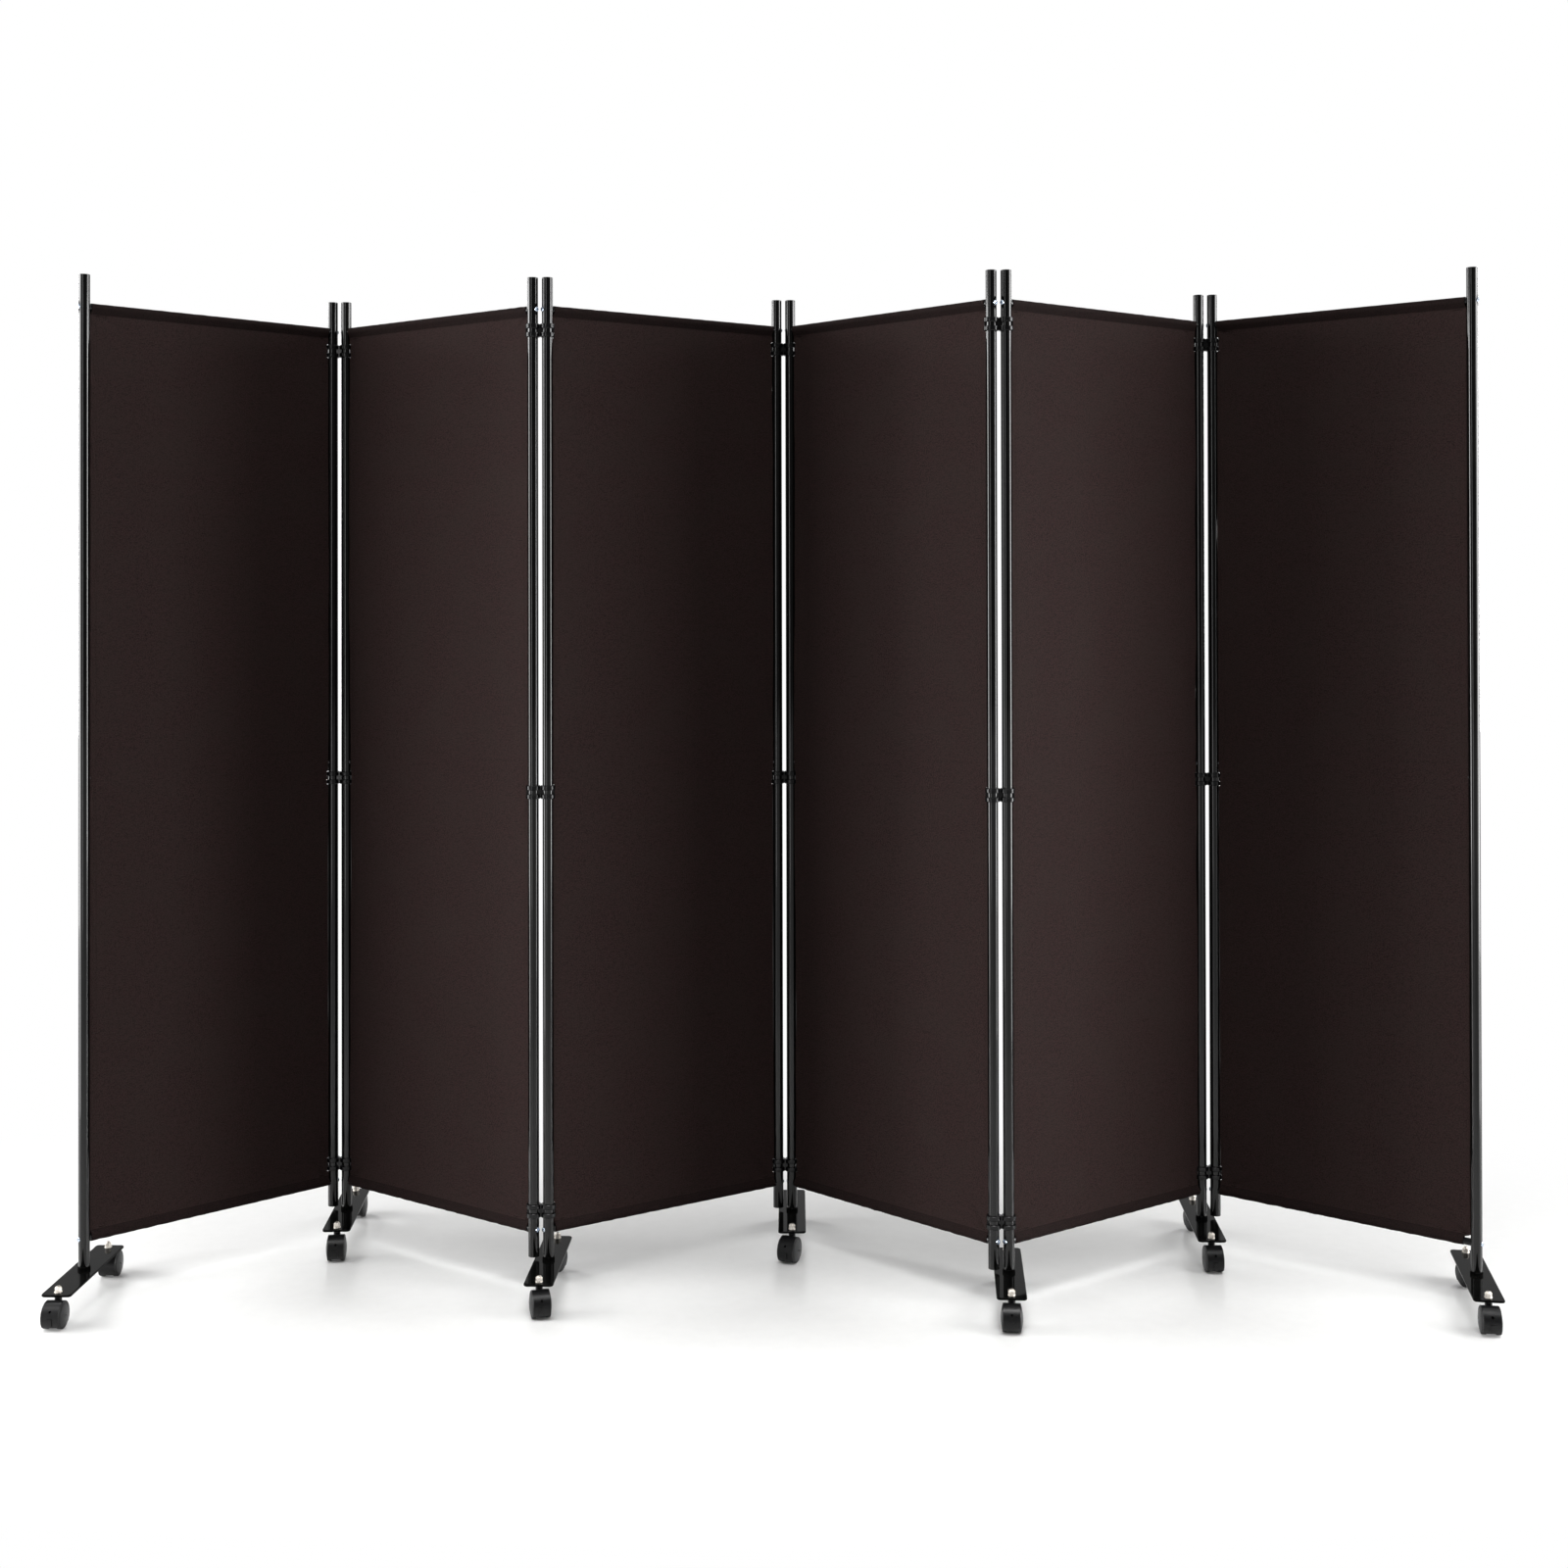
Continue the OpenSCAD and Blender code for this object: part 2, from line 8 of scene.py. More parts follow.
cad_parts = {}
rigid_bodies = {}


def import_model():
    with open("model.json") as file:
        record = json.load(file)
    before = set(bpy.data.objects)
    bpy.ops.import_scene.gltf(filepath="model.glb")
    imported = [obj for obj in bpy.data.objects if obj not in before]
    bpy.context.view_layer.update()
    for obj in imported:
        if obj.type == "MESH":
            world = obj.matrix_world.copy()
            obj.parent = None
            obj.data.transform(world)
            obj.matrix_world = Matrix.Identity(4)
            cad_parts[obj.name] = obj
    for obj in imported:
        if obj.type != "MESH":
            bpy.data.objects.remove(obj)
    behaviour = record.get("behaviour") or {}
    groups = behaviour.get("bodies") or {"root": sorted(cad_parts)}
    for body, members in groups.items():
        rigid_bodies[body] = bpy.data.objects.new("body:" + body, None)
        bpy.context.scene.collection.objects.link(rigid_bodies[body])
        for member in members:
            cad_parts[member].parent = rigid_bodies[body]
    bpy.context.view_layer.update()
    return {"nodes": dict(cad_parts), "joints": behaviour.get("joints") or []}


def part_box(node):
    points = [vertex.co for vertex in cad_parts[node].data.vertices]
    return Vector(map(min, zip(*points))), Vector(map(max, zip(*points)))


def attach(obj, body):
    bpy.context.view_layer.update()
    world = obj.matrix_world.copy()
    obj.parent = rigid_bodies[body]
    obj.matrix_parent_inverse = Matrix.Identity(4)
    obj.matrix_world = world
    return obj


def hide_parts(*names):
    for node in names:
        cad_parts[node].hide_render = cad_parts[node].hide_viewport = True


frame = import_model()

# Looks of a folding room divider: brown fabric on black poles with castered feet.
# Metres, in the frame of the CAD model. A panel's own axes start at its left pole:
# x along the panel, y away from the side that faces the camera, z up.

PANELS = 6
FEET = 7

# Sizes that the CAD model also holds
POLE_R = 0.0095
RAIL_R = 0.006
CLIP_H = 0.023
RING_H = 0.008
CLIP_MID_Z = 0.862
BUTTON_Z = 0.891
BUTTON_R = 0.0025
PLATE_BOTTOM = 0.050
PLATE_TOP = 0.054
WHEEL_R = 0.0215

# Fabric: thickness, folded sides, reach to the poles and clips, pockets and stitches
CLOTH_T = 0.00055
SIDE_HEM_W = 0.015
EDGE_X = 0.0097
RING_REACH = 0.0128
WAIST_REACH = 0.0120
POCKET_R = 0.00675
SEAM_DROP = 0.0118
RAW_END = 0.003
RAW_BEHIND = 1.15 * CLOTH_T
POCKET_FOLD = 0.35
STITCH_LENGTH = 0.0034
STITCH_PITCH = 0.0045
THREAD_R = 0.00022
THREAD_FLATNESS = 0.8
SIDE_STITCH_X = 0.0125
SEAM_STITCH_X = 0.018
SEAM_STITCH_GAP = 0.0006
SIDE_STITCH_GAP = 0.002
HEM_EASE = 0.0016

# Distance of a pocket's end from the pole axis, and where one has crept further in
POCKET_X = 0.0112
CREPT = {(6, "right", "bottom"): 0.0215}

# Rows of the sheet's mesh: the least step, what is added in the open, the step at a
# clip, and the distances over which the step grows
ROW_STEP = 0.0025
ROW_GROWTH = 0.0095
CLIP_ROW_STEP = 0.0012
CLIP_NEAR = 0.016
CLIP_FAR = 0.05
SEAM_FAR = 0.12

# Columns of the sheet's mesh: distances from its side, and how many between
SIDE_COLUMNS = [
    0.0, 0.0015, 0.003, 0.005, 0.0075, 0.010, 0.012, 0.0135,
    0.015, 0.0165, 0.019, 0.023, 0.028, 0.034,
]
MIDDLE_COLUMNS = 46
POCKET_ROWS = 21

# Heights of the cloth's waves: over the sheet, at the lower and upper seam, at its
# sides and on its lower and upper pocket
WANDER_H = 0.0009
LOW_RIPPLE_H = 0.00032
TOP_RIPPLE_H = 0.00018
SIDE_WAVE_H = 0.0005
LOW_BUMP_H = 0.0002
TOP_BUMP_H = 0.0001

# How far from a seam or a side these waves start or fade
WANDER_FROM = 0.35
RIPPLE_REACH = 0.016
SIDE_WAVE_FROM = 0.05
SIDE_WAVE_REACH = 0.012
BUMP_FROM = 0.006

# Creases at each corner of a sheet
CREASES = 4
CREASE_H = 0.0008
LOW_CREASE = 1.5
CREASE_START = 0.006
CREASE_SEAM = 0.003

# Sides of the cloth: how far they waver, and how fast they ease at pockets and clips
SIDE_WAVER = 0.00003
POCKET_EASE = 0.0045
NOTCH_MARGIN = 0.0011
NOTCH_STEP = 0.0012
NOTCH_EASE = 0.0018
SIDE_FADE = 0.014

# Tests for the faces of CAD nodes: what counts as level, as near and as flat, how far
# a stud rises over its plate, how wide its end is, and how far the axle and the hub
# reach from the wheels' axis
LEVEL = 0.00002
SLACK = 0.0002
FLAT = 0.0001
STUD_RISE = 0.006
STUD_END_W = 0.0062
AXLE_REACH = 0.0027
HUB_REACH = 0.004


def smooth(value):
    """0 below 0, 1 above 1 and an even curve between."""
    t = np.clip(value, 0.0, 1.0)
    return t * t * (3 - 2 * t)


# Places that come from the frame

def pole_axes(k):
    """The left and right pole axis of panel k, from the joints at its poles."""
    name = f"panel_{k}"
    found = {
        tuple(np.round(joint["pos_m"][:2], 5))
        for joint in frame["joints"]
        if name in (joint["parent"], joint["child"])
    }
    left, right = sorted(found)
    return np.array(left), np.array(right)


class Panel:
    """Axes of one panel, and where its rails and clips are."""

    def __init__(self, k):
        self.k = k
        self.left, right = pole_axes(k)
        self.width = float(np.linalg.norm(right - self.left))
        self.along = (right - self.left) / self.width
        self.across = np.array([-self.along[1], self.along[0]])
        low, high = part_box(f"panel_{k}_rails")
        self.rail_low = low.z + RAIL_R
        self.rail_top = high.z - RAIL_R

    def place(self, x, y, z):
        """Points of the panel's own axes in the frame, one row each."""
        flat = self.left + np.outer(x, self.along) + np.outer(y, self.across)
        return np.column_stack([flat, z])

    def own(self, points):
        """Points of the frame in the panel's own axes."""
        flat = points[:, :2] - self.left
        return np.column_stack([flat @ self.along, flat @ self.across, points[:, 2]])

    def clip_levels(self, side):
        """Heights of the clips on one pole, none on the screen's outer poles."""
        j = self.k - 1 if side == "left" else self.k
        if not 1 <= j < PANELS:
            return []
        low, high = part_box(f"hinge_clips_{j}")
        return [low.z + CLIP_H / 2, CLIP_MID_Z, high.z - CLIP_H / 2]

    def pocket_x(self, side, end):
        """Distance of a pocket's end from the pole axis beside it."""
        return CREPT.get((self.k, side, end), POCKET_X)


# Camera at the photograph's viewing angle

PHOTO_SIDE = 1600
FOCAL_PX = 1997.3
CENTRE_Y_PX = 594.8
CAMERA_AT = (0.0225, -3.4946, 1.1995)
CAMERA_TILT = 0.0070
CAMERA_YAW = 0.0047
CAMERA_ROLL = -0.0022
SENSOR = 36.0


def make_camera():
    """The camera that was fitted to the photograph's poles, gaps and feet."""
    data = bpy.data.cameras.new("camera")
    camera = bpy.data.objects.new("camera", data)
    bpy.context.scene.collection.objects.link(camera)
    bpy.context.scene.camera = camera
    data.sensor_width = SENSOR
    data.lens = SENSOR * FOCAL_PX / PHOTO_SIDE
    data.shift_y = (CENTRE_Y_PX - PHOTO_SIDE / 2) / PHOTO_SIDE
    data.clip_start = 0.05
    data.clip_end = 100
    right = Vector((math.cos(CAMERA_YAW), math.sin(CAMERA_YAW), 0))
    level = Vector((-math.sin(CAMERA_YAW), math.cos(CAMERA_YAW), 0))
    forward = level * math.cos(CAMERA_TILT) + Vector((0, 0, math.sin(CAMERA_TILT)))
    up = right.cross(forward)
    turned = right * math.cos(CAMERA_ROLL) + up * math.sin(CAMERA_ROLL)
    raised = up * math.cos(CAMERA_ROLL) - right * math.sin(CAMERA_ROLL)
    rows = zip(turned, raised, -forward, CAMERA_AT)
    camera.matrix_world = Matrix([tuple(row) for row in rows] + [(0, 0, 0, 1)])


# Materials

class Nodes:
    """A short way to write a node tree."""

    def __init__(self, tree):
        self.tree = tree
        tree.nodes.clear()

    def add(self, kind, inputs=None, **settings):
        node = self.tree.nodes.new(kind)
        for key, value in settings.items():
            setattr(node, key, value)
        for key, value in (inputs or {}).items():
            if isinstance(value, bpy.types.NodeSocket):
                self.tree.links.new(value, node.inputs[key])
            else:
                node.inputs[key].default_value = value
        return node

    def math(self, operation, a, b=0.0):
        return self.add("ShaderNodeMath", {0: a, 1: b}, operation=operation).outputs[0]

    def noise(self, vector, scale, detail=2.0, roughness=0.5):
        inputs = {"Vector": vector, "Scale": scale, "Detail": detail, "Roughness": roughness}
        return self.add("ShaderNodeTexNoise", inputs).outputs["Fac"]

    def stretch(self, vector, scale):
        inputs = {"Vector": vector, "Scale": scale}
        return self.add("ShaderNodeMapping", inputs).outputs["Vector"]

    def ramp(self, value, low, high, to_low=0.0, to_high=1.0):
        inputs = {
            "Value": value,
            "From Min": low,
            "From Max": high,
            "To Min": to_low,
            "To Max": to_high,
        }
        return self.add("ShaderNodeMapRange", inputs).outputs["Result"]

    def mix(self, factor, a, b):
        node = self.add("ShaderNodeMix", data_type="RGBA")
        for socket, value in ((0, factor), (6, a), (7, b)):
            if isinstance(value, bpy.types.NodeSocket):
                self.tree.links.new(value, node.inputs[socket])
            else:
                node.inputs[socket].default_value = value
        return node.outputs[2]

    def bump(self, height, distance, strength=1.0, normal=None):
        inputs = {"Height": height, "Distance": distance, "Strength": strength}
        if normal is not None:
            inputs["Normal"] = normal
        return self.add("ShaderNodeBump", inputs).outputs["Normal"]

    def finish(self, shader):
        self.add("ShaderNodeOutputMaterial", {"Surface": shader})


def srgb(red, green, blue):
    """A colour written as it looks on screen, from 0 to 255, as linear values."""
    parts = [v / 255 for v in (red, green, blue)]
    linear = [p / 12.92 if p <= 0.04045 else ((p + 0.055) / 1.055) ** 2.4 for p in parts]
    return (*linear, 1.0)


def new_material(name):
    """A material with an empty node tree, and the tree's writer."""
    material = bpy.data.materials.new(name)
    material.use_nodes = True
    return material, Nodes(material.node_tree)


def thread_waves(n, cloth, scale, direction):
    """Parallel threads of a weave, as a slightly uneven wave."""
    inputs = {"Vector": cloth, "Scale": scale, "Distortion": 0.6}
    return n.add("ShaderNodeTexWave", inputs, bands_direction=direction).outputs["Fac"]


def fabric_material(name, depth):
    """Plain polyester weave: fine threads, slubs both ways and a soft sheen. depth scales
    the colour towards black; below one it is painted shade, for the darker band at the hems."""
    material, n = new_material(name)
    cloth = n.add("ShaderNodeUVMap", uv_map="weave").outputs["UV"]
    warp_threads = thread_waves(n, cloth, 560.0, "X")
    weft_threads = thread_waves(n, cloth, 520.0, "Y")
    weave = n.math("MULTIPLY", warp_threads, weft_threads)
    warp = n.noise(n.stretch(cloth, (900.0, 70.0, 1.0)), 1.0, 3.0, 0.6)
    weft = n.noise(n.stretch(cloth, (70.0, 900.0, 1.0)), 1.0, 3.0, 0.6)
    flecks = n.noise(cloth, 420.0, 2.0, 0.7)
    patches = n.noise(cloth, 14.0, 3.0, 0.5)
    mottle = n.noise(cloth, 430.0, 2.0, 0.7)
    tint = n.noise(cloth, 120.0, 2.0, 0.6)
    slubs = n.math("ADD", n.math("ADD", warp, weft), flecks)
    shade = n.ramp(slubs, 1.1, 1.9)
    dyed = n.mix(shade, srgb(54, 41, 39), srgb(68, 53, 51))
    flecked = n.mix(n.ramp(mottle, 0.38, 0.62), dyed, srgb(36, 27, 26))
    tinted = n.mix(n.ramp(tint, 0.4, 0.62, 0.0, 0.4), flecked, srgb(64, 45, 45))
    patched = n.mix(n.ramp(patches, 0.4, 0.65, 0.0, 0.3), tinted, srgb(54, 46, 43))
    woven = n.mix(n.math("MULTIPLY", weave, 0.25), patched, srgb(74, 61, 59))
    # Painted shade: a depth below one darkens the cloth towards black.
    with_painted_shade = n.mix(depth, srgb(0, 0, 0), woven)
    height = n.math("ADD", n.math("MULTIPLY", weave, 0.5), n.math("MULTIPLY", slubs, 0.5))
    rough = n.ramp(flecks, 0.3, 0.7, 0.78, 0.92)
    inputs = {
        "Base Color": with_painted_shade,
        "Roughness": rough,
        "Specular IOR Level": 0.08,
        "Sheen Weight": 0.02,
        "Sheen Roughness": 0.45,
        "Sheen Tint": srgb(150, 135, 130),
        "Normal": n.bump(height, 0.0002, 0.6),
    }
    n.finish(n.add("ShaderNodeBsdfPrincipled", inputs).outputs[0])
    return material


def paint_material(name, gloss, rough_low, rough_high):
    """Gloss black powder coat with a faint orange peel."""
    material, n = new_material(name)
    place = n.add("ShaderNodeTexCoord").outputs["Object"]
    peel = n.noise(place, 300.0, 2.0, 0.5)
    dust = n.noise(place, 25.0, 3.0, 0.5)
    inputs = {
        "Base Color": n.mix(n.ramp(dust, 0.4, 0.75), srgb(8, 8, 8), srgb(15, 15, 14)),
        "Roughness": n.ramp(dust, 0.3, 0.8, rough_low, rough_high),
        "Specular IOR Level": gloss,
        "Normal": n.bump(peel, 0.00002, 0.15),
    }
    n.finish(n.add("ShaderNodeBsdfPrincipled", inputs).outputs[0])
    return material


def plastic_material(name, dark, light, rough_low, rough_high, grain):
    """Moulded plastic with a fine grain and faint flow marks."""
    material, n = new_material(name)
    place = n.add("ShaderNodeTexCoord").outputs["Object"]
    fine = n.noise(place, grain, 2.0, 0.6)
    flow = n.noise(n.stretch(place, (1.0, 1.0, 0.35)), 45.0, 3.0, 0.6)
    inputs = {
        "Base Color": n.mix(n.ramp(flow, 0.35, 0.7), dark, light),
        "Roughness": n.ramp(fine, 0.3, 0.7, rough_low, rough_high),
        "Specular IOR Level": 0.26,
        "Normal": n.bump(fine, 0.00008, 0.35),
    }
    n.finish(n.add("ShaderNodeBsdfPrincipled", inputs).outputs[0])
    return material


def metal_material(name, dark, light, roughness):
    """Plated steel with faint turning marks and a few dull spots."""
    material, n = new_material(name)
    place = n.add("ShaderNodeTexCoord").outputs["Object"]
    marks = n.noise(n.stretch(place, (1.0, 1.0, 6.0)), 900.0, 2.0, 0.5)
    spots = n.noise(place, 220.0, 3.0, 0.6)
    inputs = {
        "Base Color": n.mix(n.ramp(spots, 0.35, 0.7), light, dark),
        "Metallic": 1.0,
        "Roughness": n.ramp(spots, 0.3, 0.8, roughness, roughness + 0.14),
        "Normal": n.bump(marks, 0.00004, 0.3),
    }
    n.finish(n.add("ShaderNodeBsdfPrincipled", inputs).outputs[0])
    return material


PAINT = paint_material("black_steel", 0.36, 0.06, 0.1)
PLATE_PAINT = paint_material("plate_paint", 0.015, 0.06, 0.1)
FABRIC = fabric_material("brown_fabric", 1.0)
# The hem pockets' cloth, darkened to about half as painted shade for the darker band at the
# hems.
HEM_SHADED_FABRIC = fabric_material("brown_fabric_hem_painted_shade", 0.52)
CLIP_PLASTIC = plastic_material(
    "black_plastic", srgb(11, 11, 12), srgb(17, 17, 18), 0.2, 0.28, 1500.0)
HOUSING = plastic_material(
    "housing_plastic", srgb(12, 12, 13), srgb(20, 20, 21), 0.3, 0.4, 1400.0)
TREAD = plastic_material(
    "tread_plastic", srgb(16, 16, 17), srgb(25, 25, 26), 0.42, 0.52, 900.0)
DISC = plastic_material(
    "disc_plastic", srgb(34, 35, 36), srgb(44, 45, 46), 0.34, 0.44, 1100.0)
SILVER = metal_material("silver", srgb(216, 210, 202), srgb(246, 240, 232), 0.42)
# Painted shade: a dark metal for the studs' ends stands for the shade inside the nuts'
# bores.
BORE_SHADE = metal_material("painted_bore_shade", srgb(32, 28, 26), srgb(58, 50, 46), 0.5)
ZINC = metal_material("zinc", srgb(150, 150, 152), srgb(196, 196, 198), 0.28)
BUTTON_STEEL = metal_material("button_steel", srgb(60, 60, 62), srgb(104, 104, 106), 0.4)
SCREW_ZINC = metal_material("screw_zinc", srgb(178, 190, 206), srgb(222, 232, 244), 0.2)


# Finishes of the CAD nodes, face by face

def islands(mesh):
    """For each polygon, the number of the CAD face that it belongs to. CAD faces
    share no vertices."""
    owner = np.arange(len(mesh.vertices))

    def root(v):
        while owner[v] != v:
            owner[v] = owner[owner[v]]
            v = owner[v]
        return v

    for polygon in mesh.polygons:
        first = root(polygon.vertices[0])
        for v in polygon.vertices[1:]:
            owner[root(v)] = first
    return np.array([root(polygon.vertices[0]) for polygon in mesh.polygons])


def dress(node, materials, pick):
    """Gives a CAD node its materials. pick names one by number for each CAD face,
    from the points of the face."""
    mesh = frame["nodes"][node].data
    mesh.materials.clear()
    for material in materials:
        mesh.materials.append(material)
    if len(materials) == 1:
        return
    points = np.array([v.co for v in mesh.vertices])
    face_of = islands(mesh)
    for face in np.unique(face_of):
        members = np.flatnonzero(face_of == face)
        corners = np.unique([v for m in members for v in mesh.polygons[m].vertices])
        number = pick(points[corners])
        for member in members:
            mesh.polygons[member].material_index = number


def dress_poles(k):
    """Paint, and steel on the faces that are no higher or lower than the buttons."""
    reach = BUTTON_R + SLACK

    def pick(points):
        heights = points[:, 2]
        return int(heights.min() > BUTTON_Z - reach and heights.max() < BUTTON_Z + reach)

    dress(f"panel_{k}_poles", [PAINT, BUTTON_STEEL], pick)


def dress_rails(panel):
    """The screws lie outside the pole axes, and the rails and saddles inside."""
    def pick(points):
        x = panel.own(points)[:, 0]
        return int(x.min() < 0 or x.max() > panel.width)

    dress(f"panel_{panel.k}_rails", [CLIP_PLASTIC, SCREW_ZINC], pick)


def foot_centre(i):
    """The axis on which foot i turns, seen from above."""
    joint = next(j for j in frame["joints"] if j["name"] == f"foot_{i}_turn")
    return np.array(joint["pos_m"][:2])


def dress_foot(i):
    """Paint on the plate and its collar, zinc on the stems, silver on the nuts and painted
    shade on the studs' ends, a dark metal for the shade in the nuts' bores."""
    centre = foot_centre(i)
    middle = 5 * POLE_R
    plate, stem, nut, stud_end = range(4)

    def pick(points):
        low, high = points[:, 2].min(), points[:, 2].max()
        if np.linalg.norm(points[:, :2] - centre, axis=1).min() < middle:
            return plate
        level = high - low < LEVEL
        # A stud's flat end takes the painted bore shade.
        if level and low > PLATE_TOP + STUD_RISE and np.ptp(points[:, 0]) < STUD_END_W:
            return stud_end
        if low > PLATE_TOP + LEVEL:
            return nut
        if low < PLATE_BOTTOM - FLAT or high > PLATE_TOP + STUD_RISE:
            return stem
        return plate

    dress(f"foot_{i}", [PLATE_PAINT, ZINC, SILVER, BORE_SHADE], pick)


def dress_wheels(name):
    """Treads, greyer discs and the axle, by distance from the axle."""
    joint = next(j for j in frame["joints"] if j["name"] == f"{name}_roll")
    at, axis = np.array(joint["pos_m"]), np.array(joint["axis"], float)
    tread, disc, axle = range(3)

    def pick(points):
        out = points - at
        along = out @ axis
        radius = np.linalg.norm(out - np.outer(along, axis), axis=1)
        if radius.max() < AXLE_REACH:
            return axle
        inside = radius.max() < WHEEL_R - SLACK or radius.min() < HUB_REACH
        return disc if inside and np.ptp(along) > FLAT else tread

    dress(name, [TREAD, DISC, ZINC], pick)


# Fabric panels

def rows_along(panel):
    """Heights of the sheet's rows between its seams, closer near seams and clips."""
    low, high = panel.rail_low + SEAM_DROP, panel.rail_top - SEAM_DROP
    levels = panel.clip_levels("left") or panel.clip_levels("right")
    z, rows = low, [low]
    while z < high:
        near_seam = min(z - low, high - z)
        near_clip = min(abs(z - level) for level in levels)
        off_seam = float(smooth(near_seam / SEAM_FAR))
        off_clip = float(smooth((near_clip - CLIP_NEAR) / CLIP_FAR))
        step = ROW_STEP + ROW_GROWTH * off_seam * off_clip
        z += CLIP_ROW_STEP if near_clip < CLIP_NEAR else step
        rows.append(z)
    rows = np.array(rows)
    return low + (rows - low) * (high - low) / (rows[-1] - low)


def columns_across(panel):
    """Distances of the sheet's columns from the left pole, closer near its sides."""
    left = EDGE_X + np.array(SIDE_COLUMNS)
    middle = np.linspace(left[-1], panel.width - left[-1], MIDDLE_COLUMNS)[1:-1]
    return np.concatenate([left, middle, panel.width - left[::-1]])


def between(start, end):
    """Three points that divide the way from start to end evenly."""
    return [tuple(np.array(start) * (1 - s) + np.array(end) * s) for s in (0.25, 0.5, 0.75)]


def hem_path():
    """Mid line of a hem from its raw end to the seam: y, and distance from the rail's
    centre towards the sheet."""
    lean = math.acos(POCKET_R / SEAM_DROP)
    turns = np.linspace(lean, 2 * math.pi - lean, POCKET_ROWS)
    raw = [(RAW_BEHIND, SEAM_DROP + s * RAW_END) for s in (1, 0.5, 0)]
    arc = [(POCKET_R * math.sin(a), POCKET_R * math.cos(a)) for a in turns]
    down = between(raw[-1], arc[0])
    up = between(arc[-1], (0.0, SEAM_DROP))
    return np.array(raw + down + arc + up)


class Waves:
    """Smooth noise from a few seeded sine waves. across and along are the shortest
    wave lengths in the two directions."""

    def __init__(self, seed, across, along, count=7):
        draw = np.random.RandomState(seed)
        steep = draw.uniform(0.4, 1.0, count) * 2 * math.pi / across
        self.kx = steep * draw.choice([-1, 1], count)
        self.kz = draw.uniform(0.4, 1.0, count) * 2 * math.pi / along
        self.phase = draw.uniform(0, 2 * math.pi, count)
        self.gain = 1 / math.sqrt(count / 2)

    def at(self, x, z):
        total = 0
        for kx, kz, phase in zip(self.kx, self.kz, self.phase):
            total = total + np.sin(kx * x + kz * z + phase)
        return total * self.gain


class Drape:
    """How far one panel's cloth stands off its flat sheet, and where its sides run."""

    def __init__(self, panel):
        self.panel = panel
        seed = 100 * panel.k
        self.wander = Waves(seed + 1, 0.34, 0.9)
        self.ripple = Waves(seed + 2, 0.016, 0.25)
        self.edge = Waves(seed + 3, 0.2, 0.14)
        self.bumps = Waves(seed + 4, 0.022, 0.03)
        self.draw = np.random.RandomState(seed + 5)
        corners = [(side, end) for side in ("left", "right") for end in ("top", "bottom")]
        self.creases = [self.crease(*corner) for corner in corners for _ in range(CREASES)]

    def crease(self, side, end):
        """A fold that runs from a corner into the sheet: side, end, angle, start, height,
        reach and width."""
        turn = math.radians(self.draw.uniform(18, 72))
        start_x = self.draw.uniform(0.0, 0.03)
        size = self.draw.uniform(0.5, 1.3) * (LOW_CREASE if end == "bottom" else 1.0)
        reach = self.draw.uniform(0.03, 0.075)
        width = self.draw.uniform(0.0028, 0.0055)
        return side, end, turn, start_x, size * CREASE_H, reach, width

    def off(self, x, z):
        """Distance off the flat sheet, towards the back, at points of the panel."""
        panel = self.panel
        low, high = panel.rail_low + SEAM_DROP, panel.rail_top - SEAM_DROP
        from_low, from_high = np.abs(z - low), np.abs(high - z)
        seam = np.minimum(from_low, from_high)
        free = smooth(seam / SIDE_WAVE_FROM)
        side = np.minimum(x, panel.width - x) - EDGE_X
        total = WANDER_H * self.wander.at(x, z) * smooth(seam / WANDER_FROM)
        near = np.where(from_low < from_high, LOW_RIPPLE_H, TOP_RIPPLE_H)
        total = total + near * self.ripple.at(x, z) * np.exp(-seam / RIPPLE_REACH)
        at_side = np.exp(-np.maximum(side, 0) / SIDE_WAVE_REACH)
        total = total + SIDE_WAVE_H * self.edge.at(x, z) * at_side * free
        for edge, end, turn, start_x, size, reach, width in self.creases:
            u = (x if edge == "left" else panel.width - x) - EDGE_X - start_x
            v = from_low if end == "bottom" else from_high
            along = u * math.cos(turn) + v * math.sin(turn)
            across = -u * math.sin(turn) + v * math.cos(turn)
            ridge = size * np.exp(-(across / width) ** 2) * smooth(along / CREASE_START)
            faded = ridge * np.exp(-np.maximum(along, 0) / reach)
            total = total + faded * smooth(v / CREASE_SEAM)
        return total

    def side_shift(self, side, z, beyond):
        """How far the sheet's side is drawn in from its usual line at a height. beyond is
        the distance past the seam, on a pocket."""
        panel = self.panel
        low, high = panel.rail_low + SEAM_DROP, panel.rail_top - SEAM_DROP
        shift = SIDE_WAVER * (1 + self.edge.at(0.1 if side == "left" else 0.3, z))
        for end, seam in (("bottom", low), ("top", high)):
            inset = panel.pocket_x(side, end) - EDGE_X
            shift = shift + inset * smooth(beyond / POCKET_EASE) * (np.abs(z - seam) < 1e-6)
        for level in panel.clip_levels(side):
            away = np.abs(z - level)
            ring = smooth((away - CLIP_H / 2 + RING_H + NOTCH_MARGIN) / NOTCH_STEP)
            reach = WAIST_REACH + (RING_REACH - WAIST_REACH) * ring
            past = smooth((away - CLIP_H / 2 - FLAT) / NOTCH_EASE)
            shift = np.maximum(shift, (reach - EDGE_X) * (1 - past))
        return shift

    def shift(self, x, z, beyond=0.0):
        """Sideways move of the cloth at points of the panel, which fades from its sides."""
        from_left = x - EDGE_X
        from_right = self.panel.width - EDGE_X - x
        left = self.side_shift("left", z, beyond) * np.exp(-from_left / SIDE_FADE)
        right = self.side_shift("right", z, beyond) * np.exp(-from_right / SIDE_FADE)
        return left - right


def thickness_behind(panel, x):
    """Extra cloth on the back where the side hem is turned in."""
    side = np.minimum(x, panel.width - x) - EDGE_X
    return CLOTH_T * (1 - smooth((side - SIDE_HEM_W + HEM_EASE / 2) / HEM_EASE))


